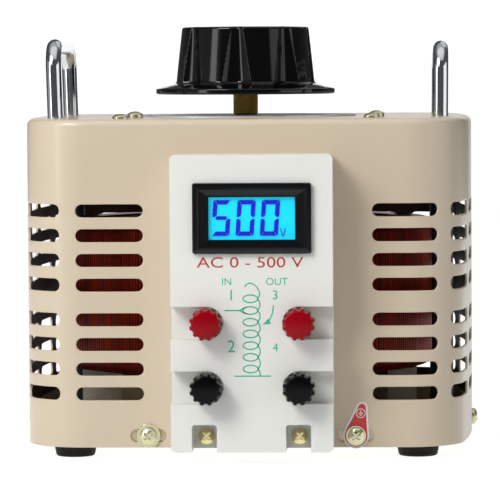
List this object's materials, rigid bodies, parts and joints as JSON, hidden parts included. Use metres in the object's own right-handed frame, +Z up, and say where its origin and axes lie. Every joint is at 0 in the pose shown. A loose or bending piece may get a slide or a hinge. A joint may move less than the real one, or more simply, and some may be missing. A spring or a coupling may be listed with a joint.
{
  "type": "variable autotransformer",
  "caption": "Bench variable autotransformer in a vented beige steel housing, with a large black control knob, chrome handles and a white terminal board with a voltmeter.",
  "frame": {"origin": "on the floor, under the middle of the overall size", "axes": "+Z up along the shaft, +X towards the right-hand handle, front with the terminal board towards -Y"},
  "size_m": [0.2368, 0.237, 0.2182],
  "materials": {
    "beige_paint": "semi-gloss beige powder coat",
    "plain_steel": "plain pressed sheet steel",
    "black_rubber": "moulded black rubber",
    "handle_chrome": "bright chrome plate",
    "zinc_screw": "pale yellow zinc plate",
    "board_plastic": "white moulded plastic, semi-gloss",
    "meter_plastic": "glossy black plastic",
    "clear_window": "clear polished window",
    "lit_display": "backlit cyan liquid crystal",
    "display_ink": "dark blue liquid-crystal segments",
    "brass_metal": "turned brass",
    "copper_wire": "enamelled copper wire",
    "bare_copper": "bare polished copper track",
    "core_steel": "wound silicon steel strip",
    "press_board": "pressboard insulation",
    "cast_alloy": "machined cast alloy",
    "dial_alloy": "satin alloy sheet with black ticks",
    "tag_red": "red and white enamelled tag",
    "knob_bakelite": "glossy black phenolic moulding",
    "cap_red": "glossy red phenolic",
    "cap_black": "glossy black phenolic",
    "brush_carbon": "pressed carbon",
    "wire_red": "red insulated wire",
    "wire_black": "black insulated wire",
    "support_paint": "light painted bracket",
    "pillar_dark": "dark painted steel"
  },
  "bodies": {
    "housing": {"housing_cover": "beige_paint", "base_plate": "plain_steel", "foot_front_left": "black_rubber", "foot_front_right": "black_rubber", "foot_rear_left": "black_rubber", "foot_rear_right": "black_rubber", "foot_screws": "zinc_screw", "handle_left": "handle_chrome", "handle_right": "handle_chrome", "handle_nuts": "zinc_screw", "top_frame": "plain_steel", "tie_pillars": "pillar_dark", "top_screws": "zinc_screw", "dial_plate": "dial_alloy", "cover_screws": "zinc_screw", "cover_washers": "zinc_screw", "ground_screw": "zinc_screw", "ground_tag": "tag_red", "terminal_board": "board_plastic", "board_screws": "zinc_screw", "meter_bezel": "meter_plastic", "meter_case": "meter_plastic", "meter_window": "clear_window", "display_panel": "lit_display", "display_digits": "display_ink", "terminal_studs": "brass_metal", "terminal_nuts": "brass_metal", "core": "core_steel", "core_insulation": "press_board", "winding": "copper_wire", "contact_track": "bare_copper", "coil_supports": "support_paint", "centre_hub": "cast_alloy", "lower_clamp_disc": "cast_alloy", "upper_clamp_disc": "cast_alloy", "hub_bolts": "zinc_screw", "lower_bush": "brass_metal", "upper_bush": "brass_metal", "pickup_contact": "brass_metal", "travel_stop": "zinc_screw", "output_lead": "wire_red", "supply_lead": "wire_black"},
    "rotor": {"shaft": "plain_steel", "control_knob": "knob_bakelite", "knob_bush": "brass_metal", "knob_set_screw": "plain_steel", "brush_arm": "cast_alloy", "arm_hub": "cast_alloy", "slip_ring": "brass_metal", "brush_holder": "cast_alloy"},
    "brush": {"carbon_brush": "brush_carbon", "brush_spring": "plain_steel"},
    "input_line_washer": {"input_line_washer": "brass_metal"},
    "input_line_cap": {"input_line_cap": "cap_red"},
    "input_neutral_washer": {"input_neutral_washer": "brass_metal"},
    "input_neutral_cap": {"input_neutral_cap": "cap_black"},
    "output_line_washer": {"output_line_washer": "brass_metal"},
    "output_line_cap": {"output_line_cap": "cap_red"},
    "output_neutral_washer": {"output_neutral_washer": "brass_metal"},
    "output_neutral_cap": {"output_neutral_cap": "cap_black"}
  },
  "joints": [
    {"name": "knob_turn", "type": "hinge", "parent": "housing", "child": "rotor", "pos_m": [-0.0028, 0.0185, 0.18], "axis": [0, 0, 1], "range_deg": [-157.5, 157.5]},
    {"name": "brush_lift", "type": "slide", "parent": "rotor", "child": "brush", "axis": [0, 0, 1], "range_m": [0, 0.003], "stiffness_N_per_m": 400, "springref_m": -0.004, "deforming": ["brush_spring"]},
    {"name": "input_line_clamp", "type": "slide", "parent": "housing", "child": "input_line_washer", "axis": [0, -1, 0], "range_m": [0, 0.005]},
    {"name": "input_line_screw", "type": "hinge", "parent": "input_line_washer", "child": "input_line_cap", "pos_m": [-0.0174, -0.1115, 0.0706], "axis": [0, -1, 0], "range_deg": [0, 1800]},
    {"name": "input_neutral_clamp", "type": "slide", "parent": "housing", "child": "input_neutral_washer", "axis": [0, -1, 0], "range_m": [0, 0.005]},
    {"name": "input_neutral_screw", "type": "hinge", "parent": "input_neutral_washer", "child": "input_neutral_cap", "pos_m": [-0.0174, -0.1115, 0.0386], "axis": [0, -1, 0], "range_deg": [0, 1800]},
    {"name": "output_line_clamp", "type": "slide", "parent": "housing", "child": "output_line_washer", "axis": [0, -1, 0], "range_m": [0, 0.005]},
    {"name": "output_line_screw", "type": "hinge", "parent": "output_line_washer", "child": "output_line_cap", "pos_m": [0.0284, -0.1115, 0.0706], "axis": [0, -1, 0], "range_deg": [0, 1800]},
    {"name": "output_neutral_clamp", "type": "slide", "parent": "housing", "child": "output_neutral_washer", "axis": [0, -1, 0], "range_m": [0, 0.005]},
    {"name": "output_neutral_screw", "type": "hinge", "parent": "output_neutral_washer", "child": "output_neutral_cap", "pos_m": [0.0284, -0.1115, 0.0386], "axis": [0, -1, 0], "range_deg": [0, 1800]}
  ],
  "couplings": [
    {"joint": "input_line_screw", "follows": "input_line_clamp", "rad_per_m": 6283.2},
    {"joint": "input_neutral_screw", "follows": "input_neutral_clamp", "rad_per_m": 6283.2},
    {"joint": "output_line_screw", "follows": "output_line_clamp", "rad_per_m": 6283.2},
    {"joint": "output_neutral_screw", "follows": "output_neutral_clamp", "rad_per_m": 6283.2}
  ]
}
